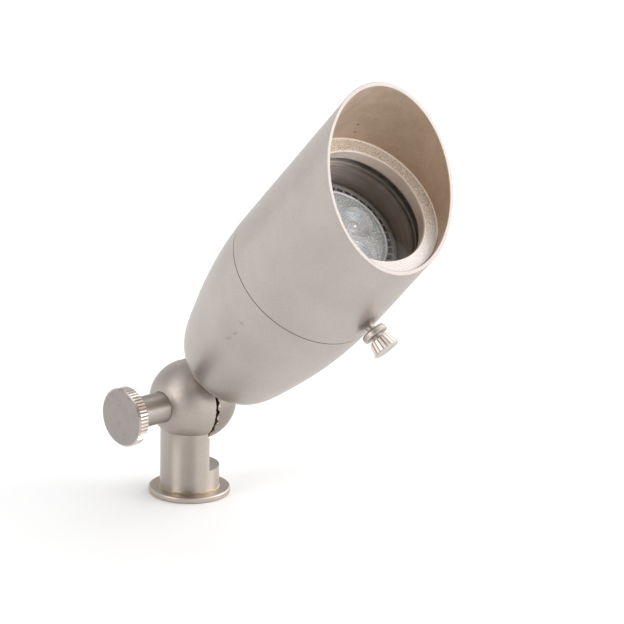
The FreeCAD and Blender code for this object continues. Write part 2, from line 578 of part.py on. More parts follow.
# --- lamp: pins, base, finned heat sink, board, diodes, vented ring, optic ----
node(pair("pin_pair", cyl("pin1", "pin_r", "pin_lo", "base_lo", "pin_gap/2"),
          cyl("pin2", "pin_r", "pin_lo", "base_lo", "0 - pin_gap/2")), "lamp_pins", HEAD)
base_blk = prim("Part::Box", "base_box", {"Length": "base_w", "Width": "base_d", "Height": "sink_lo - base_lo"},
                ("0 - base_w/2", "0 - base_d/2", "base_lo"))
base_soft = doc.addObject("Part::Fillet", "base_soft")
base_soft.Base = base_blk
doc.recompute()
base_soft.Edges = [(i, 1.8, 1.8) for i, e in enumerate(base_blk.Shape.Edges, start=1)
                   if abs(e.Vertexes[0].Z - e.Vertexes[-1].Z) > 1]
node(base_soft, "lamp_base", HEAD)

sink = turned("sink_cone", [
    ("0", "sink_lo"), ("sink_lo_r", "sink_lo"), ("sink_lo_r + 1", "sink_lo + 6"), ("17.5", "100"),
    ("21.6", "108"), ("sink_top_r", "sink_hi - 2"), ("sink_top_r", "sink_hi"), ("0", "sink_hi")])
slots = []
for k in range(int(VAL["fins"])):
    b = prim("Part::Box", "fin_slot%d" % k, {"Length": "30", "Width": "fin_gap", "Height": "24"},
             rot=Rotation(Vector(0, 0, 1), k * 360.0 / VAL["fins"]))
    a = math.radians(k * 360.0 / VAL["fins"])
    b.Placement.Base = Vector(9.5 * math.cos(a) + VAL["fin_gap"] / 2 * math.sin(a),
                              9.5 * math.sin(a) - VAL["fin_gap"] / 2 * math.cos(a), 86)
    slots.append(b)
sink_cut = cut("sink_cut", sink, *slots)
node(sink_cut, "lamp_heatsink", HEAD)

node(pair("board_one", cyl("board_disc", "board_r", "board_lo", "board_lo + board_t")), "led_board", HEAD)
chips = []
for k in range(4):
    a = math.radians(VAL["cup_phase"] + 90 * k)
    c = prim("Part::Box", "chip%d" % k, {"Length": "chip", "Width": "chip", "Height": "chip_t"})
    c.Placement.Base = Vector(VAL["chip_pcr"] * math.cos(a) - VAL["chip"] / 2, VAL["chip_pcr"] * math.sin(a) - VAL["chip"] / 2,
                              VAL["board_lo"] + VAL["board_t"])
    chips.append(c)
chip_set = doc.addObject("Part::Compound", "chip_set")
chip_set.Links = chips
node(chip_set, "led_chips", HEAD)

ring = turned("vent_ring", [
    ("optic_r + 0.06", "lamp_back"), ("lamp_r - 0.4", "lamp_back"), ("lamp_r", "lamp_back + 0.4"),
    ("lamp_r", "lamp_s - 0.5"), ("lamp_r - 0.5", "lamp_s"), ("lamp_r - 1.6", "lamp_s"),
    ("optic_r + 0.9", "lamp_s - 0.5"), ("optic_r + 0.06", "lamp_s + 0.6")])
vents = []
for k in range(int(VAL["vents"])):
    ang = 360.0 * (k + 0.5) / VAL["vents"]
    b = prim("Part::Box", "vent%d" % k, {"Length": "vent_l", "Width": "vent_w", "Height": "12"},
             rot=Rotation(Vector(0, 0, 1), ang))
    a = math.radians(ang)
    b.Placement.Base = Vector(VAL["vent_in"] * math.cos(a) + VAL["vent_w"] / 2 * math.sin(a),
                              VAL["vent_in"] * math.sin(a) - VAL["vent_w"] / 2 * math.cos(a), VAL["lamp_back"] + 1.2)
    vents.append(b)
node(cut("vent_ring_cut", ring, *vents), "lamp_rim", HEAD)

# the optic has a raised bead round its rim; each diode has a steep cup with a
# stepped floor and a small dome in its middle
optic = turned("optic_body", [
    ("0", "optic_lo"), ("optic_r", "optic_lo"), ("optic_r", "optic_s + 0.3"), ("optic_r - 0.25", "optic_s + 0.55"),
    ("optic_r - 0.65", "optic_s + 0.55"), ("optic_r - 0.9", "optic_s + 0.3"), ("optic_r - 0.9", "optic_s"),
    ("optic_r - 1.7", "optic_s"), ("optic_r - 2.1", "optic_s + 0.5"), ("0", "optic_s + 0.5")])
cups, domes = [], []
for k in range(4):
    a = math.radians(VAL["cup_phase"] + 90 * k)
    centre = Vector(VAL["chip_pcr"] * math.cos(a), VAL["chip_pcr"] * math.sin(a), 0)
    c = prim("Part::Cone", "cup%d" % k, {"Radius1": "cup_in", "Radius2": "cup_r + (cup_r - cup_in)*0.2/cup_deep",
                                         "Height": "cup_deep + 0.2"})
    c.Placement.Base = centre
    c.setExpression("Placement.Base.z", bound("optic_s + 0.5 - cup_deep"))
    cups.append(c)
    for n in range(1, 4):
        c = prim("Part::Cylinder", "cup%d_floor%d" % (k, n), {"Radius": "cup_in - cup_ring*%d" % n,
                                                             "Height": "cup_step*%d + 0.5" % n})
        c.Placement.Base = centre
        c.setExpression("Placement.Base.z", bound("optic_s + 0.5 - cup_deep - cup_step*%d" % n))
        cups.append(c)
    c = prim("Part::Sphere", "dome%d" % k, {"Radius": "dome_r"})
    c.Angle1 = 0
    c.Placement.Base = centre
    c.setExpression("Placement.Base.z", bound("optic_s + 0.2 - cup_deep - cup_step*3"))
    domes.append(c)
node(fuse("optic_domed", cut("optic_cut", optic, *cups), *domes), "lamp_optic", HEAD)

# --- lens glass in its channel gasket -----------------------------------------
node(pair("glass_one", cyl("glass_disc", "glass_r", "glass_lo", "glass_lo + glass_t")), "lens_glass", HEAD)
gasket = turned("gasket_body", [
    ("gask_in", "gask_lo"), ("gask_r", "gask_lo"), ("gask_r", "gask_hi"), ("gask_in", "gask_hi"),
    ("gask_in", "glass_lo + glass_t"), ("glass_r", "glass_lo + glass_t"), ("glass_r", "glass_lo"), ("gask_in", "glass_lo")])
node(gasket, "lens_gasket", HEAD)

# --- glare hood: tube with an inner shelf, cut off at a slant -----------------
hood = turned("hood_turned", [
    ("hood_in", "hood_s"), ("body_r", "hood_s"), ("body_r", "200"), ("hood_in", "200"),
    ("hood_in", "ring_hi + 0.4"), ("hood_in - 0.4", "ring_hi"), ("ring_bore + 0.4", "ring_hi"),
    ("ring_bore", "ring_hi - 0.4"), ("ring_bore_lo", "ring_lo"), ("hood_in", "ring_lo")])
slant = prim("Part::Box", "hood_slant", {"Length": "200", "Width": "300", "Height": "200"})
rot = Rotation(Vector(1, 0, 0), VAL["cut_angle"])
slant.Placement = Placement(Vector(0, 0, VAL["cut_s"]).add(rot.multVec(Vector(-100, -150, 0))), rot)
screw_hole = prim("Part::Cylinder", "hood_screw_hole", {"Radius": "screw_hole", "Height": "20"})
turn = Rotation(Vector(0, 0, 1), VAL["screw_turn"]).multiply(Rotation(Vector(1, 0, 0), 90))
screw_hole.Placement = Placement(Vector(0, 0, VAL["screw_s"]).add(turn.multVec(Vector(0, 0, 25))), turn)
hood_open = cut("hood_cut", hood, slant, screw_hole)
doc.recompute()
rim_soft = doc.addObject("Part::Fillet", "hood_rim_soft")
rim_soft.Base = hood_open
rim_soft.Edges = [(i, VAL["rim_break"], VAL["rim_break"]) for i, e in enumerate(hood_open.Shape.Edges, start=1)
                  if e.BoundBox.ZMax - e.BoundBox.ZMin > 20 and e.BoundBox.XLength > 50]
node(rim_soft, "glare_hood", HOOD)

# --- thumbscrew: soft tip, shank, collar, neck and coarse-knurled head ---------
tip = turned("tip_body", [("0", "ts_tip_lo"), ("ts_tip_r", "ts_tip_lo"), ("ts_tip_r", "ts_start"), ("0", "ts_start")])
node(tip, "thumbscrew_tip", SCREW)
ts = turned("thumbscrew_body", [
    ("0", "ts_start"), ("ts_shank", "ts_start"), ("ts_shank", "ts_col_lo"), ("ts_col_in - 0.2", "ts_col_lo"),
    ("ts_col_in", "ts_col_lo + 0.2"), ("ts_col_r", "ts_col_lo + 0.7"), ("ts_col_r", "ts_col_hi - 0.3"),
    ("ts_col_r - 0.3", "ts_col_hi"),
    ("ts_neck", "ts_col_hi"), ("ts_neck", "ts_head_lo"), ("ts_head_r - 0.35", "ts_head_lo"), ("ts_head_r", "ts_head_lo + 0.35"),
    ("ts_head_out", "ts_head_hi - 0.5"), ("ts_head_out - 0.4", "ts_head_hi"), ("0", "ts_head_hi")])
ts_tool_parts = []
for k in range(int(VAL["ts_ridges"])):
    a = 2 * math.pi * k / VAL["ts_ridges"]
    er, et = Vector(math.cos(a), math.sin(a), 0), Vector(-math.sin(a), math.cos(a), 0)
    flare = (VAL["ts_head_out"] - VAL["ts_head_r"]) / (VAL["ts_head_hi"] - VAL["ts_head_lo"] - 0.85)
    back = 0.85 * flare
    r0, r1, w = VAL["ts_head_r"] - VAL["ts_ridge_depth"] - back, VAL["ts_head_r"] + 0.3 - back, 0.54
    z0 = Vector(0, 0, VAL["ts_head_lo"] - 0.5)
    tri = [er * r0 + z0, er * r1 + et * w + z0, er * r1 - et * w + z0]
    run = VAL["ts_head_hi"] - VAL["ts_head_lo"] + 1.0
    ts_tool_parts.append(Part.Face(Part.makePolygon(tri + [tri[0]])).extrude(Vector(0, 0, run) + er * (flare * run)))
ts_tool = plain("ts_grooves", Part.Compound(ts_tool_parts))
node(cut("thumbscrew_cut", ts, ts_tool), "hood_thumbscrew", SCREW)

doc.recompute()

bad = [o.Name for o in doc.Objects if "Invalid" in o.State or "Error" in o.State]
if bad:
    raise RuntimeError("failed objects: " + ", ".join(bad))
for o in NODES:
    s = o.Shape
    if s.isNull() or not s.isValid() or s.Volume <= 0:
        raise RuntimeError("bad shape: " + o.Label)

os.makedirs("parts", exist_ok=True)
for o in NODES:
    o.Shape.exportStep(os.path.join("parts", o.Label + ".step"))
    bb = o.Shape.BoundBox
    print("%-20s solids %d  vol %9.1f  x %.1f %.1f  y %.1f %.1f  z %.1f %.1f" % (
        o.Label, len(o.Shape.Solids), o.Shape.Volume, bb.XMin, bb.XMax, bb.YMin, bb.YMax, bb.ZMin, bb.ZMax))
print("pieces:", len(NODES))
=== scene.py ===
import bpy
import bmesh
import math
from mathutils import Vector, Matrix

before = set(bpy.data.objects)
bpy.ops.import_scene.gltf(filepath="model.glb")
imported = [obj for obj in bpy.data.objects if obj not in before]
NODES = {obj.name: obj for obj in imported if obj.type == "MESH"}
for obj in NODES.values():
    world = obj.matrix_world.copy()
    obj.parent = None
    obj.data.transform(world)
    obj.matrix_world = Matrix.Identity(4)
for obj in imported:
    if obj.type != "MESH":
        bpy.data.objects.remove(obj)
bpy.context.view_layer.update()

scene = bpy.context.scene
MM = 0.001

# ---------------------------------------------------------------------------
# The part's own axes (millimetres, from the part's source)
# ---------------------------------------------------------------------------
TILT = math.radians(43.58)
HEAD_O = Vector((5.95, 0.7028, 39.909))
HEAD_X = Vector((1, 0, 0))
HEAD_Y = Vector((0, math.cos(TILT), math.sin(TILT)))
HEAD_S = Vector((0, -math.sin(TILT), math.cos(TILT)))
TURN = math.radians(5.86)
HOOD_X = HEAD_X * math.cos(TURN) + HEAD_Y * math.sin(TURN)
HOOD_Y = HEAD_Y * math.cos(TURN) - HEAD_X * math.sin(TURN)
KNUCKLE_O = Vector((0, 0, 39.24))


def head_pt(x, y, s):
    """A point in head axes, in metres of the row frame."""
    return (HEAD_O + HEAD_X * x + HEAD_Y * y + HEAD_S * s) * MM


# ---------------------------------------------------------------------------
# Node building
# ---------------------------------------------------------------------------
class Mat:
    """A material with short calls for the nodes it is made of."""

    def __init__(self, name):
        self.mat = bpy.data.materials.new(name)
        self.mat.use_nodes = True
        self.t = self.mat.node_tree
        self.t.nodes.clear()
        self.out = self.t.nodes.new("ShaderNodeOutputMaterial")
        self.p = self.t.nodes.new("ShaderNodeBsdfPrincipled")
        self.t.links.new(self.p.outputs[0], self.out.inputs["Surface"])
        self._mm = None

    def put(self, socket, value):
        if isinstance(value, bpy.types.NodeSocket):
            self.t.links.new(value, socket)
        elif value is not None:
            if hasattr(socket.default_value, "__len__") and not isinstance(value, (int, float)):
                n = len(socket.default_value)
                value = tuple(value) + ((1.0,) if n == 4 and len(value) == 3 else ())
            socket.default_value = value

    def math(self, op, a, b=None, c=None, clamp=False):
        n = self.t.nodes.new("ShaderNodeMath")
        n.operation = op
        n.use_clamp = clamp
        for i, x in enumerate((a, b, c)):
            if x is not None:
                self.put(n.inputs[i], x)
        return n.outputs[0]

    def vec(self, op, a, b=None, scale=None):
        n = self.t.nodes.new("ShaderNodeVectorMath")
        n.operation = op
        self.put(n.inputs[0], a)
        if b is not None:
            self.put(n.inputs[1], b)
        if scale is not None:
            self.put(n.inputs["Scale"], scale)
        return n.outputs["Value"] if op in ("DOT_PRODUCT", "LENGTH", "DISTANCE") else n.outputs[0]

    def join(self, x, y, z):
        n = self.t.nodes.new("ShaderNodeCombineXYZ")
        for i, q in enumerate((x, y, z)):
            self.put(n.inputs[i], q)
        return n.outputs[0]

    def mm(self):
        """Object coordinates in millimetres."""
        if self._mm is None:
            c = self.t.nodes.new("ShaderNodeTexCoord")
            self._mm = self.vec("SCALE", c.outputs["Object"], scale=1000.0)
        return self._mm

    def axes(self, origin, ax, ay, az):
        """(x, y, z, radius, angle) about an axis, in millimetres."""
        d = self.vec("SUBTRACT", self.mm(), tuple(origin))
        x = self.vec("DOT_PRODUCT", d, tuple(ax))
        y = self.vec("DOT_PRODUCT", d, tuple(ay))
        z = self.vec("DOT_PRODUCT", d, tuple(az))
        r = self.math("SQRT", self.math("ADD", self.math("MULTIPLY", x, x), self.math("MULTIPLY", y, y)))
        a = self.math("ARCTAN2", y, x)
        return x, y, z, r, a

    def noise(self, scale, detail=2.0, rough=0.5, vector=None, distortion=0.0):
        n = self.t.nodes.new("ShaderNodeTexNoise")
        self.put(n.inputs["Vector"], vector if vector is not None else self.mm())
        n.inputs["Scale"].default_value = scale
        n.inputs["Detail"].default_value = detail
        n.inputs["Roughness"].default_value = rough
        n.inputs["Distortion"].default_value = distortion
        return n.outputs["Fac"]

    def voronoi(self, scale, vector=None, feature="F1", rand=1.0, out="Distance"):
        n = self.t.nodes.new("ShaderNodeTexVoronoi")
        n.feature = feature
        self.put(n.inputs["Vector"], vector if vector is not None else self.mm())
        n.inputs["Scale"].default_value = scale
        n.inputs["Randomness"].default_value = rand
        return n.outputs[out]

    def span(self, v, a, b, c=0.0, d=1.0, smooth=True):
        n = self.t.nodes.new("ShaderNodeMapRange")
        n.interpolation_type = "SMOOTHSTEP" if smooth else "LINEAR"
        n.clamp = True
        for name, q in (("Value", v), ("From Min", a), ("From Max", b), ("To Min", c), ("To Max", d)):
            self.put(n.inputs[name], q)
        return n.outputs["Result"]

    def mix(self, f, a, b, kind="MIX"):
        n = self.t.nodes.new("ShaderNodeMix")
        n.data_type = "RGBA"
        n.blend_type = kind
        n.clamp_factor = True
        self.put(n.inputs[0], f)
        self.put(n.inputs[6], a)
        self.put(n.inputs[7], b)
        return n.outputs[2]

    def ramp(self, f, stops):
        n = self.t.nodes.new("ShaderNodeValToRGB")
        el = n.color_ramp.elements
        while len(el) < len(stops):
            el.new(0.5)
        for e, (pos, col) in zip(el, stops):
            e.position = pos
            e.color = tuple(col) + ((1.0,) if len(col) == 3 else ())
        self.put(n.inputs["Fac"], f)
        return n.outputs["Color"]

    def bump(self, height, distance_mm, strength=1.0, normal=None):
        n = self.t.nodes.new("ShaderNodeBump")
        n.inputs["Strength"].default_value = strength
        n.inputs["Distance"].default_value = distance_mm * MM
        self.put(n.inputs["Height"], height)
        if normal is not None:
            self.put(n.inputs["Normal"], normal)
        return n.outputs[0]

    def stroke(self, a, b, width):
        """1 on a thin line from a to b (row frame, mm), 0 off it."""
        a, b = Vector(a), Vector(b)
        d = b - a
        rel = self.vec("SUBTRACT", self.mm(), tuple(a))
        t = self.math("DIVIDE", self.vec("DOT_PRODUCT", rel, tuple(d)), d.length_squared, clamp=True)
        near = self.vec("SCALE", tuple(d), scale=t)
        dist = self.vec("DISTANCE", rel, near)
        fade = self.span(self.math("ABSOLUTE", self.math("SUBTRACT", t, 0.5)), 0.2, 0.5, 1.0, 0.25)
        return self.math("MULTIPLY", self.span(dist, width, width * 0.25, 0.0, 1.0), fade)

    def dot(self, centre, radius, soft=0.5):
        dist = self.vec("DISTANCE", self.mm(), tuple(centre))
        return self.span(dist, radius, radius * (1 - soft), 0.0, 1.0)

    def most(self, *values):
        v = values[0]
        for w in values[1:]:
            v = self.math("MAXIMUM", v, w)
        return v

    def set(self, **kw):
        names = {"color": "Base Color", "metal": "Metallic", "rough": "Roughness", "ior": "IOR", "normal": "Normal",
                 "spec": "Specular IOR Level", "coat": "Coat Weight", "coat_rough": "Coat Roughness",
                 "trans": "Transmission Weight", "sss": "Subsurface Weight", "aniso": "Anisotropic",
                 "alpha": "Alpha", "sheen": "Sheen Weight", "emit": "Emission Color", "emit_strength": "Emission Strength"}
        for k, v in kw.items():
            self.put(self.p.inputs[names[k]], v)
        return self


def scaled(c, f):
    return tuple(x * f for x in c)


NICKEL = (0.474, 0.430, 0.397)


def satin_metal(name, base=NICKEL, rough=0.37, grain=1.0, blotch=0.05, extra=None):
    """Bead-blasted, satin nickel plate: fine grain in the height and in the gloss, faint cloudy patches."""
    m = Mat(name)
    fine = m.noise(3.2, 2.0, 0.6)
    mid = m.noise(0.9, 2.0, 0.55)
    cloud = m.noise(0.055, 3.0, 0.5)
    tone = m.span(cloud, 0.3, 0.7, 0.0, 1.0)
    colour = m.mix(tone, scaled(base, 1 - blotch), scaled(base, 1 + blotch))
    speck = m.span(fine, 0.35, 0.65, 0.0, 1.0)
    colour = m.mix(m.math("MULTIPLY", speck, 0.14 * grain), colour, scaled(base, 1.42))
    dust = m.noise(1.7, 2.0, 0.65)
    colour = m.mix(m.math("MULTIPLY", m.span(dust, 0.36, 0.60, 1.0, 0.0), 0.20 * grain), colour, scaled(base, 0.66))
    gloss = m.math("ADD", m.span(mid, 0.3, 0.7, rough - 0.03, rough + 0.03), m.span(cloud, 0.3, 0.7, -0.015, 0.015))
    height = m.math("ADD", m.math("MULTIPLY", fine, 0.55), m.math("MULTIPLY", mid, 0.45))
    normal = m.bump(height, 0.027 * grain)
    m.set(metal=1.0)
    if extra:
        colour, gloss, normal = extra(m, colour, gloss, normal)
    m.set(color=colour, rough=gloss, normal=normal)
    return m.mat


# --- head parts ------------------------------------------------------------
def bell_marks(m, colour, gloss, normal):
    """Rubbed smudges and short scratches on the near side, and painted shade on the step behind the seam."""
    wear = m.noise(1.1, 3.0, 0.7)
    marks = m.most(
        m.stroke((-25.4, -57.4, 91.6), (-25.1, -59.7, 89.6), 1.35),
        m.stroke((-24.2, -52.5, 84.1), (-24.6, -55.2, 86.0), 0.9),
        m.stroke((-23.7, -48.0, 81.8), (-24.0, -51.6, 82.8), 0.85))
    marks = m.math("MULTIPLY", marks, m.span(wear, 0.36, 0.62, 0.25, 1.0))
    thin = m.most(
        m.stroke((-25.3, -58.6, 91.2), (-25.0, -59.8, 89.2), 0.14),
        m.stroke((-24.3, -53.3, 84.6), (-24.5, -54.9, 85.9), 0.14),
        m.stroke((-10.6, -46.5, 83.0), (-9.4, -48.8, 83.9), 0.10))
    colour = m.mix(m.math("MULTIPLY", marks, 0.55), colour, (0.255, 0.22, 0.18))
    colour = m.mix(m.math("MULTIPLY", thin, 0.38), colour, (0.20, 0.17, 0.14))
    normal = m.bump(thin, -0.010, normal=normal)
    x, y, s, r, a = m.axes(HEAD_O, HEAD_X, HEAD_Y, HEAD_S)
    # painted shade: the ledge behind the hood-bell seam is painted near black and made rougher, so the seam reads as a
    # dark line
    seam_step_shade = m.math("MULTIPLY", m.span(r, 32.98, 32.90), m.math("MULTIPLY", m.span(s, 90.9, 91.2), m.span(s, 92.4, 91.9)))
    colour = m.mix(seam_step_shade, colour, (0.035, 0.03, 0.026))
    gloss = m.math("ADD", gloss, m.math("MULTIPLY", seam_step_shade, 0.25))
    return colour, gloss, normal


M_BELL = satin_metal("satin_nickel_bell", extra=bell_marks)


# two small pits in the cast wall, upper left of the mouth
PIT_XY = ((13.13, 28.57, 143.81), (11.8, 29.14, 148.69))
PIT_A = HEAD_O + HOOD_X * PIT_XY[0][0] + HOOD_Y * PIT_XY[0][1] + HEAD_S * PIT_XY[0][2]
PIT_B = HEAD_O + HOOD_X * PIT_XY[1][0] + HOOD_Y * PIT_XY[1][1] + HEAD_S * PIT_XY[1][2]


def hood_material():
    """Outside blasted satin; cut rim, shelf face and bore turned bright; inner wall left as cast, tan with pits."""
    m = Mat("satin_nickel_hood")
    x, y, s, r, a = m.axes(HEAD_O, HOOD_X, HOOD_Y, HEAD_S)
    fine = m.noise(3.2, 2.0, 0.6)
    mid = m.noise(0.9, 2.0, 0.55)
    cloud = m.noise(0.055, 3.0, 0.5)
    tone = m.span(cloud, 0.3, 0.7, 0.0, 1.0)
    outer = m.mix(tone, scaled(NICKEL, 0.95), scaled(NICKEL, 1.05))
    speck = m.span(fine, 0.35, 0.65, 0.0, 1.0)
    outer = m.mix(m.math("MULTIPLY", speck, 0.14), outer, scaled(NICKEL, 1.42))
    dust = m.noise(1.7, 2.0, 0.65)
    outer = m.mix(m.math("MULTIPLY", m.span(dust, 0.36, 0.60, 1.0, 0.0), 0.20), outer, scaled(NICKEL, 0.66))

    # where on the hood a point is
    cut = math.radians(28.52)
    d_cut = m.math("ADD", m.math("MULTIPLY", y, -math.sin(cut)),
                   m.math("MULTIPLY", m.math("SUBTRACT", s, 157.85), math.cos(cut)))
    is_rim = m.span(d_cut, -0.20, -0.10)
    inside = m.span(r, 31.62, 31.50)
    above = m.span(s, 139.0, 139.2)
    is_wall = m.math("MULTIPLY", inside, above)
    is_ring = m.math("MULTIPLY", m.span(r, 31.40, 31.20), m.span(s, 139.05, 139.2))
    is_bore = m.math("MULTIPLY", m.span(r, 26.4, 26.25), m.span(s, 139.15, 139.0))
    below = m.math("MULTIPLY", inside, m.span(s, 133.6, 133.4))

    wall_tone = m.noise(0.16, 3.0, 0.6)
    wall = m.mix(m.span(wall_tone, 0.3, 0.7), (0.52, 0.405, 0.31), (0.62, 0.49, 0.385))
    # painted shade: the inner wall darkens towards +x
    wall = m.mix(m.math("MULTIPLY", m.span(x, 6.0, 31.0), 0.62), wall, (0.37, 0.255, 0.158))
    wall_speck = m.noise(2.2, 3.0, 0.7)
    wall = m.mix(m.math("MULTIPLY", m.span(wall_speck, 0.50, 0.72), 0.45), wall, (0.68, 0.58, 0.48))
    wall = m.mix(m.math("MULTIPLY", m.span(wall_speck, 0.44, 0.30), 0.45), wall, (0.27, 0.185, 0.12))
    pits_v = m.voronoi(0.22, out="Distance")
    pits_n = m.noise(0.10, 1.0, 0.5)
    pits = m.math("MULTIPLY", m.span(pits_v, 0.085, 0.03), m.span(pits_n, 0.52, 0.62))
    pits = m.most(pits, m.dot(PIT_A, 0.62), m.dot(PIT_B, 0.70))
    wall = m.mix(m.math("MULTIPLY", pits, 0.75), wall, (0.10, 0.07, 0.05))

    ring_grain = m.noise(3.4, 3.0, 0.75)
    ring = m.mix(m.span(ring_grain, 0.41, 0.60), (0.35, 0.25, 0.168), (0.96, 0.87, 0.765))
    # painted light: towards -y, where the low side of the cut wall leaves the ring face unshaded, it is painted in a
    # paler, lighter tone
    ring = m.mix(m.span(y, -8.0, -26.0), ring, m.mix(m.span(ring_grain, 0.38, 0.64), (0.56, 0.49, 0.44), (0.86, 0.82, 0.795)))
    # painted highlight: the ring's inner and outer edges are painted pale
    lip_highlight = m.most(m.span(r, 26.1, 25.85), m.span(r, 30.75, 31.0))
    ring = m.mix(m.math("MULTIPLY", lip_highlight, 0.65), ring, (0.93, 0.85, 0.77))
    # painted shadow: a dark line along the corner between the ring face and the inner wall, over part of the way round
    corner_shadow = m.math("MULTIPLY", m.span(r, 30.95, 31.06), m.math("MULTIPLY", m.span(s, 139.9, 139.7), m.span(s, 139.1, 139.2)))
    corner_shadow = m.math("MULTIPLY", corner_shadow, m.math("MULTIPLY", m.span(a, -1.49, -1.45), m.span(a, -0.72, -0.95)))
    bore = m.mix(m.span(mid, 0.3, 0.7), (0.84, 0.725, 0.645), (0.94, 0.84, 0.765))
    # painted shade: the bore darkens towards +x
    bore = m.mix(m.math("MULTIPLY", m.span(x, 9.0, 21.0), 0.75), bore, (0.52, 0.41, 0.335))
    edge = m.mix(m.span(fine, 0.4, 0.7), (0.385, 0.34, 0.315), (0.44, 0.395, 0.37))
    under = (0.30, 0.27, 0.24)

    colour = m.mix(is_wall, outer, wall)
    colour = m.mix(is_ring, colour, ring)
    colour = m.mix(is_bore, colour, bore)
    colour = m.mix(below, colour, under)
    colour = m.mix(is_rim, colour, edge)
    colour = m.mix(m.math("MULTIPLY", corner_shadow, 0.75), colour, (0.13, 0.09, 0.065))
    # painted shade: the hood's lower end, at the seam with the bell, is painted near black
    colour = m.mix(m.span(s, 91.62, 91.54), colour, (0.05, 0.045, 0.04))

    gloss = m.span(mid, 0.3, 0.7, 0.35, 0.41)
    gloss = m.math("ADD", gloss, m.math("MULTIPLY", is_wall, 0.07))
    gloss = m.math("ADD", gloss, m.math("MULTIPLY", is_rim, 0.08))
    gloss = m.math("SUBTRACT", gloss, m.math("MULTIPLY", is_bore, 0.06))

    height = m.math("ADD", m.math("MULTIPLY", fine, 0.55), m.math("MULTIPLY", mid, 0.45))
    lathe = m.math("SINE", m.math("MULTIPLY", m.math("ADD", r, m.math("MULTIPLY", mid, 0.12)), 21.0))
    coarse = m.math("ADD", m.math("MULTIPLY", ring_grain, 1.6), m.math("MULTIPLY", lathe, 0.18))
    height = m.math("ADD", height, m.math("MULTIPLY", m.math("MULTIPLY", is_ring, coarse), 1.0))
    height = m.math("ADD", height, m.math("MULTIPLY", m.math("MULTIPLY", is_wall, wall_speck), 0.9))
    height = m.math("SUBTRACT", height, m.math("MULTIPLY", m.math("MULTIPLY", is_wall, pits), 2.0))
    metal = m.math("SUBTRACT", 1.0, m.math("MULTIPLY", is_wall, 0.55))
    metal = m.math("SUBTRACT", metal, m.math("MULTIPLY", m.math("MULTIPLY", is_rim, metal), 0.6))
    metal = m.math("SUBTRACT", metal, m.math("MULTIPLY", m.math("MAXIMUM", is_ring, is_bore), 0.65), clamp=True)
    m.set(color=colour, rough=gloss, normal=m.bump(height, 0.028), metal=metal)
    return m.mat


M_HOOD = hood_material()


def stem_marks(m, colour, gloss, normal):
    x, y, z, r, a = m.axes((0, 0, 0), (1, 0, 0), (0, 1, 0), (0, 0, 1))
    fine_ring = m.math("SINE", m.math("MULTIPLY", m.math("ADD", z, m.math("MULTIPLY", m.noise(0.7), 0.3)), 26.0))
    shank = m.math("MULTIPLY", m.span(z, 26.5, 24.0), m.span(r, 11.9, 12.05))
    normal = m.bump(m.math("MULTIPLY", fine_ring, shank), 0.004, normal=normal)
    tangent = m.t.nodes.new("ShaderNodeTangent")
    tangent.direction_type = "RADIAL"
    tangent.axis = "Z"
    m.t.links.new(tangent.outputs[0], m.p.inputs["Tangent"])
    m.p.inputs["Anisotropic"].default_value = 0.75
    m.p.inputs["Anisotropic Rotation"].default_value = 0.25
    ball = m.t.nodes.new("ShaderNodeBsdfPrincipled")
    tone = m.mix(1.0, colour, (1.02, 1.02, 1.04), "MULTIPLY")
    # teeth of the fixed half along the seam: a mottle of pale and dark tone painted on, standing in for light and shade
    # in the gap
    teeth_light_and_shade = m.span(m.noise(0.8, 2.0, 0.6), 0.38, 0.60)
    tone = m.mix(m.math("MULTIPLY", m.span(x, -0.95, -0.55), 0.8), tone, m.mix(teeth_light_and_shade, (0.13, 0.11, 0.095), (0.56, 0.49, 0.43)))
    soft = m.math("ADD", gloss, 0.10)
    for socket, value in (("Base Color", tone), ("Metallic", 1.0), ("Roughness", soft), ("Normal", normal)):
        m.put(ball.inputs[socket], value)
    both = m.t.nodes.new("ShaderNodeMixShader")
    m.put(both.inputs[0], m.span(z, 27.7, 27.9))
    m.t.links.new(m.p.outputs[0], both.inputs[1])
    m.t.links.new(ball.outputs[0], both.inputs[2])
    m.t.links.new(both.outputs[0], m.out.inputs["Surface"])
    return colour, gloss, normal


M_STEM = satin_metal("satin_nickel_stem", base=(0.44, 0.388, 0.345), rough=0.36, grain=0.8, extra=stem_marks)
def arm_teeth(m, colour, gloss, normal):
    """Teeth on the moving half of the knuckle: a mottle of pale and dark tone painted on, standing in for light and
    shade in the seam gap.
    """
    x, y, z, r, a = m.axes((0, 0, 0), (1, 0, 0), (0, 1, 0), (0, 0, 1))
    teeth_light_and_shade = m.span(m.noise(0.8, 2.0, 0.6), 0.38, 0.60)
    colour = m.mix(m.math("MULTIPLY", m.span(x, 2.1, 1.5), 0.8), colour, m.mix(teeth_light_and_shade, (0.13, 0.11, 0.095), (0.56, 0.49, 0.43)))
    return colour, gloss, normal


M_ARM = satin_metal("satin_nickel_arm", base=(0.34, 0.295, 0.26), rough=0.42, grain=1.2, extra=arm_teeth)
M_FLANGE = satin_metal("satin_nickel_flange", base=(0.49, 0.422, 0.377), rough=0.42, grain=0.9)


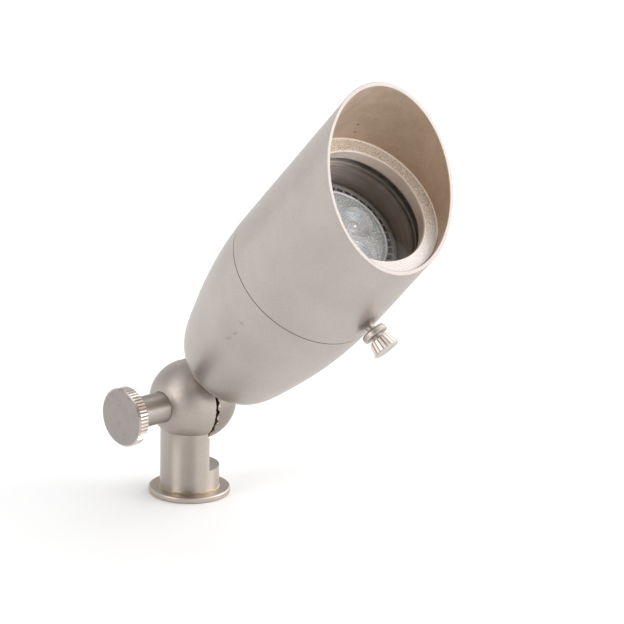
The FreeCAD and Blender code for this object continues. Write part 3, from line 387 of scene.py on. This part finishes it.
def knob_material(name, origin, ax, ay, az, r_face, z_face, face_tone, rough=0.30, flare=0.0):
    """Turned bright nickel: fine concentric lathe rings on the face; knurl crests painted pale, partly rubbed wear and
    partly painted highlight; knurl roots painted dark as painted shade.
    """
    m = Mat(name)
    x, y, z, r, a = m.axes(origin, ax, ay, az)
    if flare:
        r = m.math("ADD", r, m.math("MULTIPLY", m.math("SUBTRACT", z_face - 0.5, z), flare))
    base = (0.535, 0.485, 0.45)
    fine = m.noise(3.0, 2.0, 0.6)
    cloud = m.noise(0.22, 2.0, 0.5)
    colour = m.mix(m.span(cloud, 0.3, 0.7), scaled(base, 0.95), scaled(base, 1.05))
    face = m.math("MULTIPLY", m.span(z, z_face - 0.35, z_face - 0.1), m.span(r, r_face - 0.4, r_face - 0.9))
    colour = m.mix(face, colour, m.mix(m.span(cloud, 0.3, 0.7), face_tone, scaled(face_tone, 1.08)))
    crest = m.span(r, r_face - 0.16, r_face - 0.02)
    if flare:
        crest = m.math("MULTIPLY", crest, m.span(z, z_face - 5.5, z_face - 5.2))
    root = m.span(r, r_face - 0.30, r_face - 0.48)
    side = m.math("MULTIPLY", m.span(r, r_face - 0.75, r_face - 0.55), m.span(z, z_face - 0.6, z_face - 0.8))
    if flare:
        side = m.math("MULTIPLY", side, m.span(z, z_face - 5.5, z_face - 5.2))
        # painted shade: the neck between collar and head is painted darker, in noisy patches
        neck = m.math("MULTIPLY", m.span(z, z_face - 5.3, z_face - 5.5), m.span(cloud, 0.35, 0.65, 0.25, 0.8))
        colour = m.mix(neck, colour, (0.42, 0.37, 0.335))
    # painted highlight with rubbed wear: pale knurl crests
    colour = m.mix(crest, colour, (0.86, 0.78, 0.73))
    # painted shade: dark knurl roots
    colour = m.mix(m.math("MULTIPLY", m.math("MULTIPLY", root, side), 0.6), colour, (0.26, 0.22, 0.19))
    hub = m.math("MULTIPLY", m.span(r, 7.0, 6.5), m.span(z, z_face - 4.9, z_face - 5.1)) if not flare else 0.0
    colour = m.mix(hub, colour, (0.435, 0.385, 0.35))
    rings = m.math("SINE", m.math("MULTIPLY", r, 30.0))
    height = m.math("ADD", m.math("MULTIPLY", fine, 1.0), m.math("MULTIPLY", rings, 0.10))
    gloss = m.span(cloud, 0.3, 0.7, rough - 0.03, rough + 0.03)
    if not flare:
        gloss = m.math("ADD", gloss, m.math("MULTIPLY", hub, 0.16))
    m.set(color=colour, metal=1.0, rough=gloss, normal=m.bump(height, 0.014))
    return m.mat


# painted shade: the knob's end face is given a much darker tone than the rest of the knob
M_KNOB = knob_material("bright_nickel_knob", KNUCKLE_O, (0, 1, 0), (0, 0, 1), (-1, 0, 0), 12.05, 36.89, (0.336, 0.304, 0.285))
screw_turn = TURN + math.radians(4.2)
SC_OUT = -(HEAD_Y * math.cos(screw_turn) - HEAD_X * math.sin(screw_turn))
SC_X = HEAD_X * math.cos(screw_turn) + HEAD_Y * math.sin(screw_turn)
SCREW_O = HEAD_O + HEAD_S * 100.3
M_SCREW = knob_material("bright_nickel_screw", SCREW_O, SC_X, HEAD_S, SC_OUT, 5.7, 44.7, (0.56, 0.50, 0.47), 0.44, 0.247)


# --- sleeve, lamp and glass -------------------------------------------------
def sleeve_material():
    """Dark, dull metal sleeve, turned inside: rings round the bore and a few streaks; painted light and shade, lighter
    towards -x and darker towards +x.
    """
    m = Mat("dark_sleeve")
    x, y, s, r, a = m.axes(HEAD_O, HEAD_X, HEAD_Y, HEAD_S)
    round_vec = m.join(m.math("MULTIPLY", a, 0.9), m.math("MULTIPLY", s, 1.6), m.math("MULTIPLY", r, 0.3))
    streak = m.noise(1.0, 4.0, 0.65, vector=round_vec)
    broad = m.noise(0.10, 2.0, 0.5)
    colour = m.mix(m.span(streak, 0.35, 0.65), (0.40, 0.345, 0.31), (0.60, 0.53, 0.48))
    colour = m.mix(m.math("MULTIPLY", m.span(broad, 0.35, 0.65), 0.4), colour, (0.32, 0.27, 0.24))
    # painted light and shade: the sleeve is painted lighter towards -x and darker towards +x
    colour = m.mix(1.0, colour, m.mix(m.span(x, 0.0, 22.0), (1.42, 1.40, 1.40), (0.62, 0.60, 0.575)), "MULTIPLY")
    rings = m.math("SINE", m.math("MULTIPLY", m.math("ADD", s, m.math("MULTIPLY", streak, 0.5)), 9.0))
    height = m.math("ADD", streak, m.math("MULTIPLY", rings, 0.08))
    m.set(color=colour, metal=0.5, rough=m.span(streak, 0.3, 0.7, 0.46, 0.56), normal=m.bump(height, 0.02))
    return m.mat


M_SLEEVE = sleeve_material()


def lamp_silver():
    m = Mat("lamp_silver")
    x, y, s, r, a = m.axes(HEAD_O, HEAD_X, HEAD_Y, HEAD_S)
    fine = m.noise(2.6, 3.0, 0.6)
    colour = m.mix(m.span(fine, 0.3, 0.7), (0.36, 0.36, 0.37), (0.60, 0.60, 0.61))
    # painted shade: below s 118 the lamp ring is painted near black
    deep_shade = m.span(s, 118.2, 115.8)
    colour = m.mix(m.math("MULTIPLY", deep_shade, 0.92), colour, (0.02, 0.02, 0.022))
    m.set(color=colour, metal=0.85, rough=0.36, normal=m.bump(fine, 0.02))
    return m.mat


M_LAMP_RING = lamp_silver()

CUP_R, CUP_RHO, CUP_PHASE = 6.7, 10.0, math.radians(18.0)
CUPS = [(CUP_RHO * math.cos(CUP_PHASE + k * math.pi / 2), CUP_RHO * math.sin(CUP_PHASE + k * math.pi / 2)) for k in range(4)]


def optic_material():
    """Clear moulded optic: pale, glossy, with a warm spot over each diode; the cup walls and the rim bead are painted
    near white as painted highlights.
    """
    m = Mat("optic_clear")
    x, y, s, r, a = m.axes(HEAD_O, HEAD_X, HEAD_Y, HEAD_S)
    grain = m.noise(1.5, 3.0, 0.7)
    cell = m.voronoi(1.35, out="Distance")
    colour = m.mix(m.span(grain, 0.36, 0.60), (0.60, 0.64, 0.71), (0.93, 0.97, 1.0))
    spot = None
    for cx, cy in CUPS:
        dx = m.math("SUBTRACT", x, cx)
        dy = m.math("SUBTRACT", y, cy)
        d = m.math("SQRT", m.math("ADD", m.math("MULTIPLY", dx, dx), m.math("MULTIPLY", dy, dy)))
        spot = d if spot is None else m.math("MINIMUM", spot, d)
    floor_ = m.span(spot, 6.38, 6.30)
    wall = m.math("MULTIPLY", m.span(spot, 6.96, 6.92), m.math("SUBTRACT", 1.0, floor_))
    # painted highlight: the cup walls are painted near white
    colour = m.mix(wall, colour, (0.97, 0.98, 1.0))
    colour = m.mix(m.math("MULTIPLY", floor_, 0.75), colour, m.mix(m.span(spot, 5.4, 3.4), (0.74, 0.78, 0.85), (0.93, 0.96, 1.0)))
    colour = m.mix(m.math("MULTIPLY", m.span(spot, 7.35, 7.05), m.span(spot, 6.93, 6.99)), colour, (0.50, 0.52, 0.57))
    colour = m.mix(m.math("MULTIPLY", m.span(spot, 1.7, 0.9), 0.7), colour, (0.80, 0.66, 0.56))
    bead = m.span(r, 18.92, 18.98)
    channel = m.math("MULTIPLY", m.span(r, 18.05, 18.2), m.math("SUBTRACT", 1.0, bead))
    colour = m.mix(m.math("MULTIPLY", channel, 0.6), colour, (0.48, 0.49, 0.52))
    # painted highlight: the rim bead is painted near white
    colour = m.mix(bead, colour, (0.93, 0.95, 0.98))
    land = m.math("SUBTRACT", 1.0, m.span(spot, 7.0, 6.9))
    height = m.math("ADD", m.math("MULTIPLY", m.math("MULTIPLY", land, cell), 1.0), m.math("MULTIPLY", grain, 0.5))
    m.set(color=colour, metal=0.30, rough=m.span(grain, 0.3, 0.7, 0.20, 0.30), normal=m.bump(height, 0.05), coat=1.0,
          coat_rough=0.10)
    return m.mat


M_OPTIC = optic_material()


def clear_pane():
    """Flat clear glass: see-through with a Fresnel reflection, faint dust at its edge."""
    m = Mat("lens_clear")
    t = m.t
    clear = t.nodes.new("ShaderNodeBsdfTransparent")
    clear.inputs["Color"].default_value = (0.975, 0.98, 0.978, 1)
    gloss = t.nodes.new("ShaderNodeBsdfGlossy")
    gloss.inputs["Roughness"].default_value = 0.03
    view = t.nodes.new("ShaderNodeLayerWeight")
    view.inputs["Blend"].default_value = 0.5
    edge_on = m.math("ADD", m.math("MULTIPLY", m.math("POWER", view.outputs["Facing"], 5.0), 0.96), 0.03)
    mixer = t.nodes.new("ShaderNodeMixShader")
    haze = m.noise(0.35, 4.0, 0.6)
    x, y, s, r, a = m.axes(HEAD_O, HEAD_X, HEAD_Y, HEAD_S)
    dust = m.math("MULTIPLY", m.span(r, 20.0, 27.0), m.span(haze, 0.5, 0.75, 0.0, 0.05))
    t.links.new(m.math("ADD", edge_on, dust), mixer.inputs[0])
    t.links.new(clear.outputs[0], mixer.inputs[1])
    t.links.new(gloss.outputs[0], mixer.inputs[2])
    t.links.new(mixer.outputs[0], m.out.inputs["Surface"])
    t.nodes.remove(m.p)
    return m.mat


M_GLASS = clear_pane()


# --- inner parts -------------------------------------------------------------
def simple(name, lo, hi, scale, metal=0.0, rough=0.45, bump=0.02, var=0.05, **kw):
    """Two tones of one material mixed by a noise at its own scale, which also drives gloss and height."""
    m = Mat(name)
    n1 = m.noise(scale, 3.0, 0.6)
    n2 = m.noise(scale * 0.12, 2.0, 0.5)
    colour = m.mix(m.span(n1, 0.3, 0.7), lo, hi)
    colour = m.mix(m.math("MULTIPLY", m.span(n2, 0.35, 0.65), 0.25), colour, scaled(lo, 0.8))
    m.set(color=colour, metal=metal, rough=m.span(n2, 0.3, 0.7, rough - var, rough + var), normal=m.bump(n1, bump), **kw)
    return m.mat


M_STEEL = simple("plain_steel", (0.48, 0.48, 0.48), (0.60, 0.60, 0.60), 3.0, 1.0, 0.30, 0.008)
M_BRASS = simple("machined_brass", (0.62, 0.44, 0.19), (0.74, 0.55, 0.27), 3.0, 1.0, 0.30, 0.008)
M_BRAZE = simple("brass_joint", (0.36, 0.275, 0.15), (0.52, 0.41, 0.25), 1.8, 1.0, 0.42, 0.05)
M_RUBBER = simple("seal_rubber", (0.018, 0.018, 0.019), (0.035, 0.035, 0.036), 2.5, 0.0, 0.62, 0.02)
def silicone_material():
    """Grey lens gasket, with painted shade darkening it towards +x."""
    m = Mat("seal_silicone")
    x, y, s, r, a = m.axes(HEAD_O, HEAD_X, HEAD_Y, HEAD_S)
    fine = m.noise(2.0, 2.0, 0.6)
    colour = m.mix(m.span(fine, 0.3, 0.7), (0.72, 0.66, 0.61), (0.80, 0.74, 0.69))
    # painted shade: the gasket darkens towards +x
    colour = m.mix(m.span(x, 4.0, 22.0), colour, (0.24, 0.21, 0.185))
    m.set(color=colour, rough=0.5, normal=m.bump(fine, 0.02))
    return m.mat


M_SILICONE = silicone_material()
M_CERAMIC = simple("ceramic_white", (0.74, 0.72, 0.67), (0.84, 0.82, 0.78), 1.2, 0.0, 0.48, 0.03)
M_WIRE = simple("wire_insulation", (0.60, 0.58, 0.54), (0.68, 0.66, 0.62), 1.6, 0.0, 0.42, 0.02)
M_PLASTIC = simple("lamp_plastic", (0.62, 0.62, 0.61), (0.72, 0.72, 0.71), 1.5, 0.0, 0.38, 0.02)
M_ALLOY = simple("lamp_alloy", (0.46, 0.47, 0.48), (0.60, 0.61, 0.62), 2.4, 1.0, 0.42, 0.03)
M_BOARD = simple("board_white", (0.74, 0.74, 0.72), (0.82, 0.82, 0.80), 1.2, 0.0, 0.40, 0.01)
M_CHIP = simple("led_phosphor", (0.78, 0.60, 0.12), (0.90, 0.74, 0.22), 2.2, 0.0, 0.45, 0.02)
M_TIP = simple("tip_nylon", (0.72, 0.71, 0.66), (0.80, 0.79, 0.75), 1.6, 0.0, 0.40, 0.02, sss=0.1)

ASSIGN = {
    "mount_flange": M_FLANGE, "flange_braze": M_BRAZE, "stem_knuckle": M_STEM, "knuckle_arm": M_ARM,
    "bell_housing": M_BELL, "glare_hood": M_HOOD, "lock_knob": M_KNOB, "hood_thumbscrew": M_SCREW,
    "knob_stud": M_STEEL, "knob_flat_washer": M_STEEL, "knob_spring_washer": M_STEEL, "socket_bracket": M_STEEL,
    "bracket_screws": M_STEEL, "socket_screws": M_STEEL, "lamp_pins": M_STEEL, "knuckle_insert": M_BRASS,
    "neck_locknut": M_BRASS, "socket_contacts": M_BRASS, "neck_o_ring": M_RUBBER, "cord_grommet": M_RUBBER,
    "housing_o_rings": M_RUBBER, "lens_gasket": M_SILICONE, "lamp_socket": M_CERAMIC, "lead_wires": M_WIRE,
    "lamp_retainer": M_SLEEVE, "lamp_base": M_PLASTIC, "lamp_heatsink": M_ALLOY, "led_board": M_BOARD,
    "led_chips": M_CHIP, "lamp_rim": M_LAMP_RING, "lamp_optic": M_OPTIC, "lens_glass": M_GLASS, "thumbscrew_tip": M_TIP,
}
for name, ob in NODES.items():
    if name not in ASSIGN:
        raise RuntimeError("no material for " + name)
    ob.data.materials.clear()
    ob.data.materials.append(ASSIGN[name])

# ---------------------------------------------------------------------------
# Floor, light and camera
# ---------------------------------------------------------------------------
floor_mesh = bpy.data.meshes.new("floor")
bm = bmesh.new()
bmesh.ops.create_grid(bm, x_segments=8, y_segments=8, size=40.0)
bm.to_mesh(floor_mesh)
bm.free()
floor = bpy.data.objects.new("floor", floor_mesh)
scene.collection.objects.link(floor)
floor.location = (0, 0, -0.0001)
fm = Mat("floor_paper")
fm.set(color=(0.93, 0.93, 0.93), rough=0.9, spec=0.1)
floor_mesh.materials.append(fm.mat)

world = bpy.data.worlds.new("studio")
scene.world = world
world.use_nodes = True
world.node_tree.nodes["Background"].inputs["Color"].default_value = (1.0, 0.995, 0.99, 1)
world.node_tree.nodes["Background"].inputs["Strength"].default_value = 0.20


def sun(name, direction, angle, radiance, colour=(1, 1, 1)):
    """A soft round light at infinity: angle is its width in degrees, radiance how bright it looks."""
    data = bpy.data.lights.new(name, "SUN")
    data.angle = math.radians(angle)
    half = math.radians(angle) / 2
    data.energy = radiance * math.pi * math.sin(half) ** 2
    data.color = colour
    ob = bpy.data.objects.new(name, data)
    scene.collection.objects.link(ob)
    ob.rotation_euler = Vector(direction).to_track_quat("Z", "Y").to_euler()
    return ob


cam_data = bpy.data.cameras.new("camera")
cam = bpy.data.objects.new("camera", cam_data)
scene.collection.objects.link(cam)
cam_data.sensor_width = 36.0
cam_data.lens = 240.0305
cam_data.clip_start = 0.05
cam_data.clip_end = 200.0
R = Vector((0.735840617, -0.676900206, 0.018566006))
U = Vector((0.184561914, 0.226861280, 0.956279697))
V = Vector((-0.651517833, -0.700242865, 0.291863742))
E = Vector((-1.06043144, -1.21142470, 0.56851208))
rot = Matrix((R, U, V)).transposed().to_4x4()
cam.matrix_world = Matrix.Translation(E) @ rot
scene.camera = cam

def towards(rise, swing):
    """A direction by its height above the horizon and its swing to the right of the camera's side, in degrees."""
    front, right = Vector((V.x, V.y, 0)).normalized(), Vector((R.x, R.y, 0)).normalized()
    e, w = math.radians(rise), math.radians(swing)
    return (front * math.cos(w) + right * math.sin(w)) * math.cos(e) + Vector((0, 0, math.sin(e)))


sun("light_top_right", towards(54, 111), 56, 1.24)
sun("light_top_left", towards(58, -90), 50, 0.65)
sun("light_top_back", towards(50, 180), 60, 0.28)
sun("light_front_right", towards(20, 46), 48, 2.31)
sun("light_right", towards(14, 92), 44, 4.8, (1.0, 0.992, 0.985))
sun("light_back_right", towards(12, 142), 50, 1.73)
sun("light_front_left", towards(14, -52), 36, 3.73)
sun("light_high_left", towards(42, -52), 40, 1.43)
sun("light_left", towards(8, -100), 40, 1.06)
sun("light_back_left", towards(14, -148), 56, 0.70)
sun("light_front", towards(6, -22), 26, 0.57)

scene.view_settings.view_transform = "Standard"
scene.view_settings.look = "None"

bpy.context.view_layer.update()
